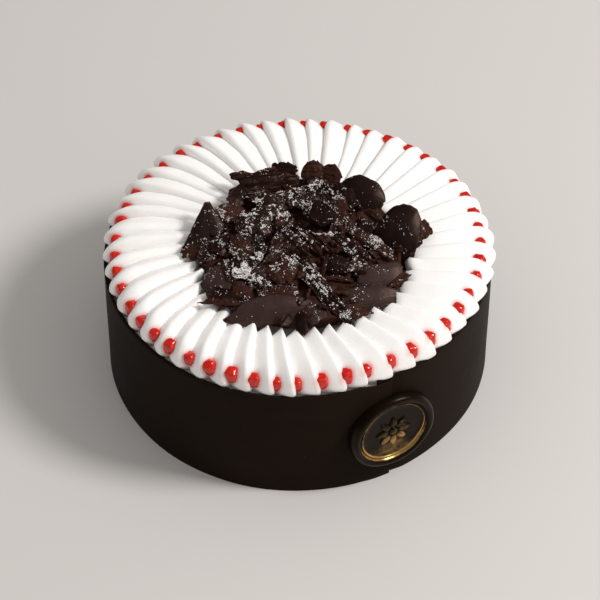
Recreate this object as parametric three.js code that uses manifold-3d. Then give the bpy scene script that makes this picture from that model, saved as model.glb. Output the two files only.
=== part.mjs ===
// A black forest cake, 203 mm (8 inches) across, in millimetres, +Z up.
// The origin is at the middle of its underside, and the chocolate seal on its side faces -Y.
// A solid round cake is wrapped in a strip of dark chocolate. On top lie a ring of piped cream
// petals with a drop of cherry gel in each crease, and a heap of chocolate shavings in the middle.
import * as THREE from "three";
import Module from "manifold-3d";
import { mergeVertices } from "three/addons/utils/BufferGeometryUtils.js";

const wasm = await Module();
wasm.setup();

// Driving dimensions, in millimetres and degrees
const CAKE_RADIUS = 101.5;
const COLLAR_HEIGHT = 70;
const COLLAR_THICKNESS = 1.8;
const CAKE_TOP = 67;
const GAP = 0.3;
const PETALS = 49;
const PETAL_OUTER_RADIUS = 99;
const SEAL_RADIUS = 23.7;
const SEAL_HEIGHT = 35;
const HEAP_TOP = 26;
// The heap and the hole that it fills lie off the middle: their centre, and the hole's radius
const HEAP_CENTRE = { x: -2, y: -10.2 };
const HOLE_RADIUS = 54;

const rad = THREE.MathUtils.degToRad;
const { lerp, smoothstep } = THREE.MathUtils;

// A mulberry32 generator, so that every build draws the same numbers.
function seededRandom(seed) {
  let state = seed;
  return (low = 0, high = 1) => {
    state = (state + 0x6d2b79f5) | 0;
    let t = Math.imul(state ^ (state >>> 15), 1 | state);
    t = (t + Math.imul(t ^ (t >>> 7), 61 | t)) ^ t;
    return low + (high - low) * (((t ^ (t >>> 14)) >>> 0) / 4294967296);
  };
}

// The cake is a little out of round, with three shallow lobes. Everything round it follows that.
const LOBES = 3;
const LOBE_SHARE = 0.0074;
const LOBE_PHASE = rad(9.5);
const roundness = (angle) => 1 + LOBE_SHARE * Math.cos(LOBES * (angle + LOBE_PHASE));

// A closed mesh as a boolean solid, and the solid back as a geometry
function toSolid(geometry) {
  const bare = geometry.clone().deleteAttribute("normal").deleteAttribute("uv");
  const merged = mergeVertices(bare, 1e-4);
  return new wasm.Manifold(
    new wasm.Mesh({
      numProp: 3,
      vertProperties: new Float32Array(merged.attributes.position.array),
      triVerts: new Uint32Array(merged.index.array),
    }),
  );
}

function toGeometry(solid) {
  const made = solid.getMesh();
  const positions = new Float32Array(made.numVert * 3);
  for (let i = 0; i < made.numVert; i++) {
    const start = i * made.numProp;
    positions.set(made.vertProperties.subarray(start, start + 3), i * 3);
  }
  return new THREE.BufferGeometry()
    .setAttribute("position", new THREE.BufferAttribute(positions, 3))
    .setIndex(new THREE.BufferAttribute(new Uint32Array(made.triVerts), 1));
}

// How far a joined surface may move where its smallest facets are merged
const SIMPLIFY = 0.06;

// The largest body of a solid, without the loose scraps that a cut leaves
function largestBody(solid) {
  return solid.decompose().reduce((best, body) => (body.volume() > best.volume() ? body : best));
}

// A geometry from rows of points, each row a closed loop of equal count, with a flat cap on the
// first and the last row. Rows run along the piece, and loops turn anticlockwise seen from its end.
function loftedLoops(rows) {
  const count = rows[0].length;
  const index = [];
  for (let r = 0; r + 1 < rows.length; r++)
    for (let i = 0; i < count; i++) {
      const next = (i + 1) % count;
      const [a, b] = [r * count + i, r * count + next];
      index.push(a, b, b + count, a, b + count, a + count);
    }
  const last = (rows.length - 1) * count;
  for (let i = 1; i + 1 < count; i++) {
    index.push(0, i + 1, i);
    index.push(last, last + i, last + i + 1);
  }
  return new THREE.BufferGeometry()
    .setAttribute("position", new THREE.Float32BufferAttribute(rows.flat(2), 3))
    .setIndex(index);
}

// A closed ring from loops of points about the cake's axis. The loops turn anticlockwise seen from
// above and go round the ring's section from its outer foot up, in and down; the last joins the
// first along the base.
function closedRing(loops) {
  const count = loops[0].length;
  const index = [];
  loops.forEach((_, r) => {
    const following = ((r + 1) % loops.length) * count;
    for (let i = 0; i < count; i++) {
      const next = (i + 1) % count;
      const [a, b] = [r * count + i, r * count + next];
      index.push(a, b, following + next, a, following + next, following + i);
    }
  });
  return new THREE.BufferGeometry()
    .setAttribute("position", new THREE.Float32BufferAttribute(loops.flat(2), 3))
    .setIndex(index);
}

const polar = (radius, angle, z) => [radius * Math.cos(angle), radius * Math.sin(angle), z];

function named(name, geometry, material) {
  const mesh = new THREE.Mesh(geometry, material);
  mesh.name = name;
  return mesh;
}

// The cake itself: sponge and cream in one uncut round, its top lower than the strip's rim
const CAKE_SIDES = 96;

// A loop at a height that follows the strip's outside, a distance out from it
function cakeOutline(outwards, z) {
  return Array.from({ length: CAKE_SIDES }, (_, i) => {
    const angle = (i / CAKE_SIDES) * 2 * Math.PI;
    return polar(CAKE_RADIUS * roundness(angle) + outwards, angle, z);
  });
}

const frostedCake = () => loftedLoops([0, CAKE_TOP].map((z) => cakeOutline(-COLLAR_THICKNESS - GAP, z)));

// The strip of chocolate: bent once round the cake, its thinned ends lapped behind the seal.
// The end underneath sits a little high, so the rim rises there and comes back down to the right.
const STRIP_STEPS = 121;
const SEAM_ANGLE = rad(-90);
const LAP = rad(4.5);
const LAP_EASE = rad(1.5);
const LAP_GAP = 0.3;
const LAP_BULGE = 0.6;
const RIM_RISE = 2;
const RIM_RISE_SPAN = rad(120);

function chocolateCollar() {
  const sweep = 2 * Math.PI + LAP;
  const rows = [];
  for (let step = 0; step <= STRIP_STEPS; step++) {
    const along = (step / STRIP_STEPS) * sweep;
    const angle = SEAM_ANGLE - LAP + along;
    const surface = CAKE_RADIUS * roundness(angle);
    const under = 1 - smoothstep(along, LAP, LAP + LAP_EASE);
    const over = smoothstep(along, sweep - LAP - LAP_EASE, sweep - LAP);
    const outer = surface - under * (COLLAR_THICKNESS - LAP_GAP) * 0.6 + over * LAP_BULGE;
    const inner = surface - COLLAR_THICKNESS + over * (COLLAR_THICKNESS - LAP_GAP) * 0.8;
    const rim = COLLAR_HEIGHT + RIM_RISE * (1 - smoothstep(along, 0, RIM_RISE_SPAN));
    rows.push([
      polar(inner, angle, 0),
      polar(inner, angle, rim),
      polar(outer, angle, rim),
      polar(outer, angle, 0),
    ]);
  }
  return loftedLoops(rows);
}

// The piped cream: one ring of petals, each rising from its crease on the clockwise side to a
// crest, and dropping steeply to the next crease. The petals turn a little as they run inwards.
// Each row along a petal has its share of the way in and the heights of crease and crest.
const PETAL_ROWS = [
  { inwards: 0, crease: 0.6, crest: 2.2 },
  { inwards: 0.03, crease: 1.8, crest: 8.8 },
  { inwards: 0.08, crease: 3.8, crest: 12.6 },
  { inwards: 0.2, crease: 7.4, crest: 15.6 },
  { inwards: 0.5, crease: 10.6, crest: 16 },
  { inwards: 0.85, crease: 10.2, crest: 14.8 },
  { inwards: 1, crease: 7.4, crest: 12 },
];
// Across a petal, from its clockwise crease at 0 to the next at 1: the share of the full height
const PETAL_PROFILE = [
  { across: 0, height: 0 },
  { across: 0.16, height: 0.5 },
  { across: 0.42, height: 0.86 },
  { across: 0.72, height: 1 },
  { across: 0.9, height: 0.62 },
];
const PETAL_PITCH = (2 * Math.PI) / PETALS;
const CREASE_PHASE = rad(1.3);
const PETAL_TURN = rad(-6);
const NOSE_SCALLOP = 2.2;
const NOSE_ROWS = 4;
const PETALS_BASE = CAKE_TOP + GAP;

// Each petal's own share of unevenness: where its crease lies, its height and its nose's reach
const drawPetal = seededRandom(49);
const UNEVENNESS = Array.from({ length: PETALS }, () => ({
  shift: drawPetal(-0.16, 0.16),
  swell: drawPetal(0.95, 1.04),
  reach: drawPetal(-0.9, 0.3),
}));

// How far the hole's edge is from the cake's middle in a direction
const HOLE_OFFSET = Math.hypot(HEAP_CENTRE.x, HEAP_CENTRE.y);
const HOLE_DIRECTION = Math.atan2(HEAP_CENTRE.y, HEAP_CENTRE.x);

function holeEdge(angle) {
  const turned = angle - HOLE_DIRECTION;
  const aside = HOLE_OFFSET * Math.sin(turned);
  return HOLE_OFFSET * Math.cos(turned) + Math.sqrt(HOLE_RADIUS ** 2 - aside ** 2);
}

// The direction of a place on a petal, before the petals' turn
function petalAngle(petal, across) {
  const here = UNEVENNESS[petal % PETALS].shift;
  const next = UNEVENNESS[(petal + 1) % PETALS].shift;
  return CREASE_PHASE + (petal + across + lerp(here, next, across)) * PETAL_PITCH;
}

function petalPoint(petal, row, { across, height }) {
  const { inwards, crease, crest } = PETAL_ROWS[row];
  const { swell, reach } = UNEVENNESS[petal];
  const angle = petalAngle(petal, across) + PETAL_TURN * inwards;
  const nose = Math.max(0, 1 - row / NOSE_ROWS);
  const outer = PETAL_OUTER_RADIUS + nose * lerp(-NOSE_SCALLOP, reach, height);
  const radius = lerp(outer * roundness(angle), holeEdge(angle), inwards);
  return polar(radius, angle, PETALS_BASE + lerp(crease, crest * swell, height));
}

function petalRing() {
  const loop = (row) =>
    UNEVENNESS.flatMap((_, petal) => PETAL_PROFILE.map((place) => petalPoint(petal, row, place)));
  const onBase = ([x, y]) => [x, y, PETALS_BASE];
  const rows = PETAL_ROWS.map((_, row) => loop(row));
  return closedRing([rows[0].map(onBase), ...rows, rows[rows.length - 1].map(onBase)]);
}

// Drops of cherry gel, one in each notch between two noses, each a little different in size
const DROP_INWARDS = 0.088;
const DROP_LIFT = 7;
const DROP_SIZE = { outwards: 3, across: 2.9, up: 3.3 };
const DROP_SPREAD = 0.2;

function gelDrops() {
  const random = seededRandom(19);
  return UNEVENNESS.map((_, petal) => {
    const angle = petalAngle(petal, 0) + PETAL_TURN * DROP_INWARDS;
    const size = random(1 - DROP_SPREAD, 1 + DROP_SPREAD);
    const radius = lerp(PETAL_OUTER_RADIUS * roundness(angle), holeEdge(angle), DROP_INWARDS);
    const drop = new THREE.SphereGeometry(1, 5, 3).rotateX(Math.PI / 2);
    drop.scale(DROP_SIZE.outwards * size, DROP_SIZE.across * size, DROP_SIZE.up * size);
    drop.rotateZ(angle).translate(...polar(radius, angle, PETALS_BASE + DROP_LIFT));
    return toSolid(drop);
  });
}

function pipedCream() {
  const cream = wasm.Manifold.union([toSolid(petalRing()), ...gelDrops()]);
  return toGeometry(largestBody(cream.asOriginal().simplify(SIMPLIFY)));
}

// The seal: a disc of chocolate with a rolled rim round a sunken field, which holds a thin ring
// and a plain eight-petal rosette. Its back is cut to the strip's curve.
const SEAL_BACK = -4;
const SEAL_SIDES = 40;
const SEAL_PROFILE = [
  [0, SEAL_BACK],
  [0.97, SEAL_BACK],
  [1, 1.6],
  [0.975, 3.4],
  [0.9, 4.6],
  [0.81, 4.4],
  [0.745, 2.6],
  [0.69, 2.4],
  [0.655, 3.1],
  [0.62, 2.4],
  [0, 2.4],
];
const ROSETTE_PETALS = 8;
const ROSETTE_RADIUS = 6.4;
const ROSETTE_PETAL = { along: 3.9, across: 2, proud: 1.3 };
const ROSETTE_EYE = 2.5;
const SEAL_FLOOR = 2.4;

function sealSolid() {
  const profile = SEAL_PROFILE.map(([share, z]) => new THREE.Vector2(share * SEAL_RADIUS, z));
  const disc = toSolid(new THREE.LatheGeometry(profile, SEAL_SIDES).rotateX(Math.PI / 2));
  const petals = Array.from({ length: ROSETTE_PETALS }, (_, i) => {
    const petal = new THREE.SphereGeometry(1, 8, 6);
    petal.scale(ROSETTE_PETAL.along, ROSETTE_PETAL.across, ROSETTE_PETAL.proud);
    petal.translate(ROSETTE_RADIUS, 0, SEAL_FLOOR).rotateZ((i / ROSETTE_PETALS) * 2 * Math.PI);
    return toSolid(petal);
  });
  const eye = new THREE.SphereGeometry(ROSETTE_EYE, 10, 6).scale(1, 1, 0.6).translate(0, 0, SEAL_FLOOR);
  return wasm.Manifold.union([disc, ...petals, toSolid(eye)]);
}

function chocolateSeal() {
  const front = CAKE_RADIUS * roundness(SEAM_ANGLE) + LAP_BULGE;
  const placed = toGeometry(sealSolid()).rotateX(Math.PI / 2).translate(0, -front, SEAL_HEIGHT);
  const loops = [-1, COLLAR_HEIGHT + 1].map((z) => cakeOutline(LAP_BULGE + GAP, z));
  return toGeometry(largestBody(toSolid(placed).subtract(toSolid(loftedLoops(loops)))));
}

// One shaving: a thin plate that narrows to its ends, curled across and bowed along, with its
// middle at the origin and its bulging side up
const SHAVING_THICKNESS = 1.7;
const LONG_SHAVING = 17;
const CURLED_SHAVING = 28;

function shaving({ long, wide, curl, bow, taper }) {
  const arc = (share, half, bend) => {
    const halfBend = Math.max(rad(bend) / 2, 1e-3);
    return [Math.sin(share * halfBend), Math.cos(share * halfBend) - 1].map((d) => (d * half) / halfBend);
  };
  const columns = long > LONG_SHAVING ? 3 : 2;
  const across = curl > CURLED_SHAVING ? 2 : 1;
  const rows = [];
  for (let column = 0; column <= columns; column++) {
    const share = (2 * column) / columns - 1;
    const [x, dropAlong] = arc(share, long / 2, bow);
    const halfWidth = (wide / 2) * (1 - taper * share * share);
    const top = [];
    const bottom = [];
    for (let row = 0; row <= across; row++) {
      const [y, dropAcross] = arc((2 * row) / across - 1, halfWidth, curl);
      const z = dropAlong + dropAcross;
      top.push([x, y, z + SHAVING_THICKNESS / 2]);
      bottom.push([x, y, z - SHAVING_THICKNESS / 2]);
    }
    rows.push([...bottom, ...top.reverse()]);
  }
  return loftedLoops(rows);
}

// The heap's shavings, placed as they lie: how far right, back and above the strip's rim each
// one's middle is, as the heap is seen with the seal 28 degrees to the right. Turn, rise and roll
// are in degrees: the way its length points, how that climbs, and its tilt to the side. What a
// shaving leaves out is as in the plain one.
const HEAP_TURN = rad(-28);
const PLAIN_SHAVING = { rise: 0, curl: 20, bow: 20, taper: 0.3 };
const SHAVINGS = [
  // round the back and the right, standing up against the cream
  { at: [-16, 35.5, 18.5], long: 36, wide: 13, turn: 12, roll: 46, curl: 40, bow: 12 },
  { at: [-7, 40, 19], long: 12, wide: 10, turn: -10, roll: 60, curl: 10 },
  { at: [12, 39, 20], long: 19, wide: 18, turn: -5, roll: 60, curl: 40, bow: 40, taper: 0.4 },
  { at: [33, 27, 17], long: 25, wide: 21, turn: -22, rise: -8, roll: 40, curl: 80, bow: 40 },
  { at: [49, 6, 17], long: 24, wide: 25, turn: -32, rise: -10, roll: 35, curl: 100, bow: 50 },
  { at: [57, -9, 14], long: 17, wide: 12, turn: 55, rise: 10, roll: -30, curl: 40 },
  { at: [65.5, 2, 17], long: 14, wide: 9, turn: 80, roll: 10, taper: 0.4 },
  // round the left
  { at: [-49, 4, 17], long: 28, wide: 16, turn: 45, rise: 8, roll: 38, curl: 10, bow: 12, taper: 0.5 },
  { at: [-53, -13, 15], long: 13, wide: 9, turn: -30, roll: 20 },
  { at: [-34, 13, 19], long: 16, wide: 12, turn: 50, roll: 20, curl: 30 },
  { at: [-30, 25, 19], long: 14, wide: 9, turn: 60, roll: 25 },
  { at: [-45, -14, 16.5], long: 18, wide: 10, turn: 62, roll: 15, bow: 15, taper: 0.4 },
  { at: [-37, -11, 19], long: 15, wide: 9, turn: 50, roll: 15 },
  // the middle
  { at: [-16, 20, 22], long: 22, wide: 9, turn: -4, roll: 20, curl: 60, bow: 50 },
  { at: [-18, 2, 22], long: 30, wide: 16, turn: 25, roll: 25, curl: 35, taper: 0.35 },
  { at: [4, 22, 21], long: 20, wide: 13, turn: 30, roll: 20 },
  { at: [14, 26, 21], long: 26, wide: 9, turn: -62, rise: -5, roll: 15, curl: 30, bow: 25, taper: 0.35 },
  { at: [22, 16, 21], long: 14, wide: 8, turn: -70, roll: 10 },
  { at: [24, 25, 19], long: 18, wide: 11, turn: -40, roll: 20 },
  { at: [12, 8, 23], long: 17, wide: 13, turn: -30, roll: 20, curl: 25 },
  { at: [24, 0, 22], long: 15, wide: 10, turn: -60, roll: 15 },
  { at: [33, -2, 21], long: 13, wide: 11, turn: -60, roll: 25 },
  { at: [-8, -10, 25], long: 26, wide: 6, turn: 62, rise: 5, roll: -10, bow: 15, taper: 0.4 },
  { at: [-9, -22, 24], long: 21, wide: 6, turn: 46, rise: 5, roll: 15, bow: 15, taper: 0.4 },
  { at: [-1, -16, 26], long: 26, wide: 5, turn: -48, rise: -8, roll: 35, curl: 30, bow: 15, taper: 0.4 },
  { at: [5, -15, 26], long: 26, wide: 5, turn: -50, rise: -8, roll: 25, curl: 30, bow: 15, taper: 0.4 },
  { at: [11, -13, 22.5], long: 22, wide: 6, turn: -46, rise: -8, roll: 20, curl: 30, bow: 15, taper: 0.4 },
  { at: [37, -9, 20], long: 36, wide: 8, turn: -36, rise: -6, roll: 15, curl: 35, bow: 22, taper: 0.4 },
  { at: [27, -16, 22], long: 30, wide: 8, turn: -42, rise: -5, roll: 15, curl: 35, taper: 0.4 },
  { at: [22, -29, 21], long: 15, wide: 9, turn: -30, rise: -5, roll: 25 },
  { at: [-20, -17, 22], long: 18, wide: 8, turn: 84, roll: -10, curl: 30 },
  { at: [-30, -16, 21], long: 18, wide: 10, turn: -58, roll: 10 },
  // round the front
  { at: [-6, -31, 22], long: 19, wide: 17, turn: 20, roll: 12, curl: 80, bow: 60 },
  { at: [12, -43, 19], long: 52, wide: 9, turn: -53, rise: -12, roll: 12, curl: 30, bow: 18, taper: 0.45 },
  { at: [-18, -40, 19], long: 18, wide: 8, turn: -38, rise: -8, roll: 30, curl: 30, bow: 40, taper: 0.4 },
  { at: [-26, -31, 21], long: 22, wide: 13, turn: 10, roll: 15, curl: 25 },
  { at: [-41, -37, 16], long: 19, wide: 15, turn: -60, rise: -15, roll: 28, curl: 30 },
  { at: [-35, -50.5, 15.7], long: 29, wide: 4, turn: -4, roll: 0, curl: 10, bow: 6, taper: 0.5 },
  { at: [-15, -57, 16], long: 46, wide: 16, turn: 10, rise: 2, roll: 45, curl: 60, taper: 0.4 },
  { at: [-34, -46, 15.3], long: 22, wide: 13, turn: -30, roll: 5, bow: 10 },
  { at: [9, -57, 15], long: 15, wide: 10, turn: -72, rise: -12, roll: 10, bow: 10, taper: 0.35 },
  { at: [3, -62.5, 13], long: 14, wide: 7, turn: -80, rise: -12, roll: 0 },
  { at: [-6, -63, 14], long: 11, wide: 7, turn: 75, roll: 15 },
  { at: [42, -33, 17], long: 25, wide: 13, turn: 12, roll: 32, curl: 30, taper: 0.35 },
  { at: [37, -46, 15], long: 28, wide: 12, turn: 12, rise: 2, roll: 35, curl: 40, taper: 0.35 },
  { at: [29, -56, 14], long: 18, wide: 6, turn: 4, roll: 20, taper: 0.4 },
  { at: [52, -33, 15], long: 14, wide: 8, turn: 60, roll: -10 },
  { at: [-7, -46, 18], long: 15, wide: 8, turn: 4, roll: 25, bow: 15 },
  { at: [-28, -43, 17], long: 12, wide: 8, turn: -30, roll: 20 },
];

// Small shavings between them, spread round the heap by a seeded draw
const SMALL_SHAVINGS = 10;
const HEAP_SPREAD = 46;

function smallShavings() {
  const random = seededRandom(7);
  return Array.from({ length: SMALL_SHAVINGS }, (_, i) => {
    const away = HEAP_SPREAD * Math.sqrt((i + 0.5) / SMALL_SHAVINGS);
    const around = i * rad(137.5);
    const fall = (away / HEAP_SPREAD) ** 2;
    const lift = lerp(HEAP_TOP - 4, CORE_FOOT + 3, fall);
    return {
      at: [3 + away * Math.cos(around), -9 + away * Math.sin(around), lift],
      long: random(9, 15),
      wide: random(6, 9),
      turn: random(0, 180),
      rise: random(-20, 20),
      roll: random(-25, 35),
      taper: random(0.2, 0.5),
    };
  });
}

function placeShaving(details) {
  const place = { ...PLAIN_SHAVING, ...details };
  const [x, y, lift] = place.at;
  const turned = new THREE.Euler(rad(place.roll), rad(-place.rise), rad(place.turn), "ZYX");
  const matrix = new THREE.Matrix4().makeRotationFromEuler(turned);
  matrix.setPosition(x, y, COLLAR_HEIGHT + lift);
  return toSolid(shaving(place).applyMatrix4(matrix).rotateZ(HEAP_TURN));
}

// The heap's bare core: a plug that fills the hole in the cream, and a low dome over it. The plug
// starts too wide, and is cut down with the rest of the heap where the petals are.
const CORE_SIDES = 24;
const CORE_OVERSIZE = 2;
const CORE_FOOT = 12.5;
const CORE_TOP = 20.5;
const DOME_RADIUS = 49;
const DOME_STEPS = 3;

function heapCore() {
  const profile = [
    new THREE.Vector2(0, PETALS_BASE),
    new THREE.Vector2(HOLE_RADIUS + CORE_OVERSIZE, PETALS_BASE),
    new THREE.Vector2(HOLE_RADIUS + CORE_OVERSIZE, COLLAR_HEIGHT + CORE_FOOT - 3),
  ];
  for (let step = 0; step <= DOME_STEPS; step++) {
    const turn = (step / DOME_STEPS) * (Math.PI / 2);
    const height = lerp(CORE_FOOT, CORE_TOP, Math.sin(turn));
    const radius = step < DOME_STEPS ? DOME_RADIUS * Math.cos(turn) : 0;
    profile.push(new THREE.Vector2(radius, COLLAR_HEIGHT + height));
  }
  const core = new THREE.LatheGeometry(profile, CORE_SIDES).rotateX(Math.PI / 2);
  return toSolid(core.translate(HEAP_CENTRE.x, HEAP_CENTRE.y, 0));
}

// The space that the petals take, up to their crests, which the heap is kept clear of
const CLEARANCE_SIDES = 60;

function petalClearance() {
  const swell = 1.04;
  const outside = CAKE_RADIUS + 20;
  const loop = (inwards, z) =>
    Array.from({ length: CLEARANCE_SIDES }, (_, i) => {
      const angle = (i / CLEARANCE_SIDES) * 2 * Math.PI;
      return polar(lerp(outside, holeEdge(angle) - GAP, inwards), angle, z);
    });
  const above = PETALS_BASE + 2 * GAP;
  const crest = PETAL_ROWS[4].crest * swell + above;
  return toSolid(
    closedRing([
      loop(0, 0),
      loop(0, crest),
      loop(0.7, crest),
      loop(0.9, PETAL_ROWS[5].crest * swell + above),
      loop(1, PETAL_ROWS[6].crest * swell + above),
      loop(1, 0),
    ]),
  );
}

function chocolateHeap() {
  const shavings = [...SHAVINGS, ...smallShavings()].map(placeShaving);
  const heap = wasm.Manifold.union([heapCore(), ...shavings]).subtract(petalClearance());
  return toGeometry(largestBody(heap.asOriginal().simplify(SIMPLIFY)));
}

// Materials
const cream = new THREE.MeshStandardMaterial({ color: 0xf6f1ec, roughness: 0.5, metalness: 0 });
const sponge = new THREE.MeshStandardMaterial({ color: 0xf1ebe2, roughness: 0.6, metalness: 0 });
const stripChocolate = new THREE.MeshStandardMaterial({ color: 0x1d1310, roughness: 0.38 });
const sealChocolate = new THREE.MeshStandardMaterial({ color: 0x231812, roughness: 0.34 });
const shavedChocolate = new THREE.MeshStandardMaterial({ color: 0x2b1a15, roughness: 0.45 });

const topping = new THREE.Group();
topping.add(
  named("piped_cream", pipedCream(), cream),
  named("shavings_heap", chocolateHeap(), shavedChocolate),
);

const cake = new THREE.Group();
cake.add(
  named("frosted_cake", frostedCake(), sponge),
  named("chocolate_collar", chocolateCollar(), stripChocolate),
  named("chocolate_seal", chocolateSeal(), sealChocolate),
  topping,
);

export default cake;
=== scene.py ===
"""A black forest cake: a round cake in a strip of dark chocolate, with piped cream, cherry gel,
chocolate shavings dusted with sugar, and a chocolate seal on its side.

Every piece is modelled in millimetres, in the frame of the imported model, and brought to metres
once its shape is final."""

import math
import random

import bpy
from mathutils import Euler, Matrix, Vector, noise
from mathutils.bvhtree import BVHTree


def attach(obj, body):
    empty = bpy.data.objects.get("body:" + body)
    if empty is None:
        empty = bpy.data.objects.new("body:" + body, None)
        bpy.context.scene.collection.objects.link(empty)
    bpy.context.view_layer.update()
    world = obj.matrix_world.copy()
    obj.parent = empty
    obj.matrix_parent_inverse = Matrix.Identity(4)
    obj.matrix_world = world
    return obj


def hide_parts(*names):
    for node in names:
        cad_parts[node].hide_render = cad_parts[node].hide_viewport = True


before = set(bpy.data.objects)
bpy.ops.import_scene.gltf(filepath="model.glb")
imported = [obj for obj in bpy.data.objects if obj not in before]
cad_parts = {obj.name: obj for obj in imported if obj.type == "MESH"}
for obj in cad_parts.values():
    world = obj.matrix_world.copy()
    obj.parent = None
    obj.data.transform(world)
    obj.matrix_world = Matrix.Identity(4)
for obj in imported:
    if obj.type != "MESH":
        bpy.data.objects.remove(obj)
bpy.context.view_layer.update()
# Noise with a direction starts from the clock unless it is given a seed
noise.seed_set(5)


# The cake: sponge and cream in one uncut round, coated with cream on a turntable with a palette
# knife, which left a soft shoulder. Little of it shows: the edge of the top, between the strip of
# chocolate and the piped petals.
CAKE_RADIUS = 101.5
CAKE_TOP = 67.0
CAKE_SIDES = 192
# It is a little out of round, in three shallow lobes
LOBES = 3
LOBE_DEPTH = 0.0074
LOBE_TURN = math.radians(9.5)
COLLAR_THICKNESS = 1.8
CAKE_CLEARANCE = 0.3
SHOULDER = 2.0
METRE = 1000.0


def mix(low, high, share):
    """The value a share of the way from one number to another."""
    return low + (high - low) * share


def smoothstep(value, low, high):
    """A smooth rise from 0 to 1 while a value goes from low to high."""
    share = min(1.0, max(0.0, (value - low) / (high - low)))
    return share * share * (3 - 2 * share)


def roundness(angle):
    """How far out the cake reaches in a direction, as a share of its radius."""
    return 1 + LOBE_DEPTH * math.cos(LOBES * (angle + LOBE_TURN))


def polar(radius, angle, height):
    """The place at a radius, a direction and a height."""
    return Vector((radius * math.cos(angle), radius * math.sin(angle), height))


def start_piece(add_primitive, **sizes):
    """A new primitive, as the only selected object, with its place and turn in its mesh."""
    bpy.ops.object.select_all(action="DESELECT")
    add_primitive(**sizes)
    bpy.ops.object.transform_apply(location=True, rotation=True, scale=True)
    return bpy.context.object


def reshape(piece, place):
    """Moves each point of a piece to where a function of its old place says."""
    for vertex in piece.data.vertices:
        vertex.co = place(vertex.co)
    piece.data.update()


def apply_modifier(piece, kind, **settings):
    """Adds a modifier to a piece, and applies it."""
    modifier = piece.modifiers.new(kind, kind)
    for name, value in settings.items():
        setattr(modifier, name, value)
    bpy.context.view_layer.objects.active = piece
    bpy.ops.object.modifier_apply(modifier=modifier.name)


def edit(piece, *steps):
    """Runs edit-mode operators on a whole piece, each given with its settings."""
    bpy.ops.object.select_all(action="DESELECT")
    bpy.context.view_layer.objects.active = piece
    piece.select_set(True)
    bpy.ops.object.mode_set(mode="EDIT")
    bpy.ops.mesh.select_all(action="SELECT")
    for operator, settings in steps:
        operator(**settings)
    bpy.ops.object.mode_set(mode="OBJECT")


def join(pieces, name):
    """Joins pieces into one with a name."""
    bpy.ops.object.select_all(action="DESELECT")
    for piece in pieces:
        piece.select_set(True)
    bpy.context.view_layer.objects.active = pieces[0]
    bpy.ops.object.join()
    pieces[0].name = name
    return pieces[0]


def finish_mesh(piece, material, sharp=None):
    """Brings a piece to metres, smooths its shading and gives it its material."""
    piece.data.transform(piece.matrix_world)
    piece.matrix_world = Matrix.Identity(4)
    piece.data.transform(Matrix.Scale(1 / METRE, 4))
    bpy.ops.object.select_all(action="DESELECT")
    piece.select_set(True)
    bpy.context.view_layer.objects.active = piece
    if sharp is None:
        bpy.ops.object.shade_smooth()
    else:
        bpy.ops.object.shade_smooth_by_angle(angle=math.radians(sharp))
    piece.data.materials.clear()
    piece.data.materials.append(material)


class Value:
    """An output of a node. Sums on values add Math nodes to their material."""

    def __init__(self, finish, socket):
        self.finish = finish
        self.socket = socket

    def math(self, operation, *inputs):
        return self.finish.node("Math", {"operation": operation}, dict(enumerate(inputs)))

    def __add__(self, other):
        return self.math("ADD", self, other)

    def __radd__(self, other):
        return self.math("ADD", other, self)

    def __sub__(self, other):
        return self.math("SUBTRACT", self, other)

    def __rsub__(self, other):
        return self.math("SUBTRACT", other, self)

    def __mul__(self, other):
        return self.math("MULTIPLY", self, other)

    def __rmul__(self, other):
        return self.math("MULTIPLY", other, self)

    def rise(self, low, high):
        """A smooth rise from 0 to 1 between two of its values."""
        settings = {"interpolation_type": "SMOOTHSTEP"}
        inputs = {"Value": self, "From Min": low, "From Max": high}
        return self.finish.node("MapRange", settings, inputs)


class Finish:
    """A material whose surface is one Principled shader, with constants on its own sockets."""

    def __init__(self, name, **constants):
        self.material = bpy.data.materials.new(name)
        self.material.use_nodes = True
        self.tree = self.material.node_tree
        self.surface = self.tree.nodes["Principled BSDF"]
        for key, value in constants.items():
            socket = key.replace("_", " ").title().replace("Ior", "IOR")
            self.surface.inputs[socket].default_value = value

    def node(self, kind, settings, inputs, output=0):
        """A node of a kind: its settings are set first, then its sockets. Gives one output."""
        made = self.tree.nodes.new("ShaderNode" + kind)
        for name, value in settings.items():
            setattr(made, name, value)
        for key, value in inputs.items():
            self.fill(made.inputs[key], value)
        return Value(self, made.outputs[output])

    def fill(self, socket, value):
        """Links a value to a socket, or sets the socket to a constant."""
        if isinstance(value, Value):
            self.tree.links.new(value.socket, socket)
        else:
            socket.default_value = value

    def set(self, name, value):
        self.fill(self.surface.inputs[name], value)

    def place(self):
        """The place on the piece, in metres."""
        return self.node("TexCoord", {}, {}, "Object")

    def noise(self, place, scale, detail=2.0, roughness=0.5):
        """Soft noise from 0 to 1. Its scale is in lumps a metre on the place."""
        inputs = {"Vector": place, "Scale": scale, "Detail": detail, "Roughness": roughness}
        return self.node("TexNoise", {}, inputs, "Fac")

    def stretched(self, place, x, y, z):
        """A place scaled along each axis, which stretches a pattern the other way."""
        return self.node("Mapping", {}, {"Vector": place, "Scale": (x, y, z)})

    def blend(self, share, low, high):
        """A colour a share of the way from one to another."""
        settings = {"data_type": "RGBA"}
        low, high = (c if isinstance(c, Value) else (*c, 1) for c in (low, high))
        return self.node("Mix", settings, {0: share, 6: low, 7: high}, 2)

    def attribute(self, name):
        """A value that was stored on each point of the piece."""
        return self.node("Attribute", {"attribute_name": name}, {}, "Fac")

    def bump(self, height, distance, strength=1.0):
        """Lets a height, in shares of a distance in millimetres, shape the surface's normal."""
        inputs = {"Height": height, "Distance": distance / METRE, "Strength": strength}
        self.set("Normal", self.node("Bump", {}, inputs))


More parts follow.
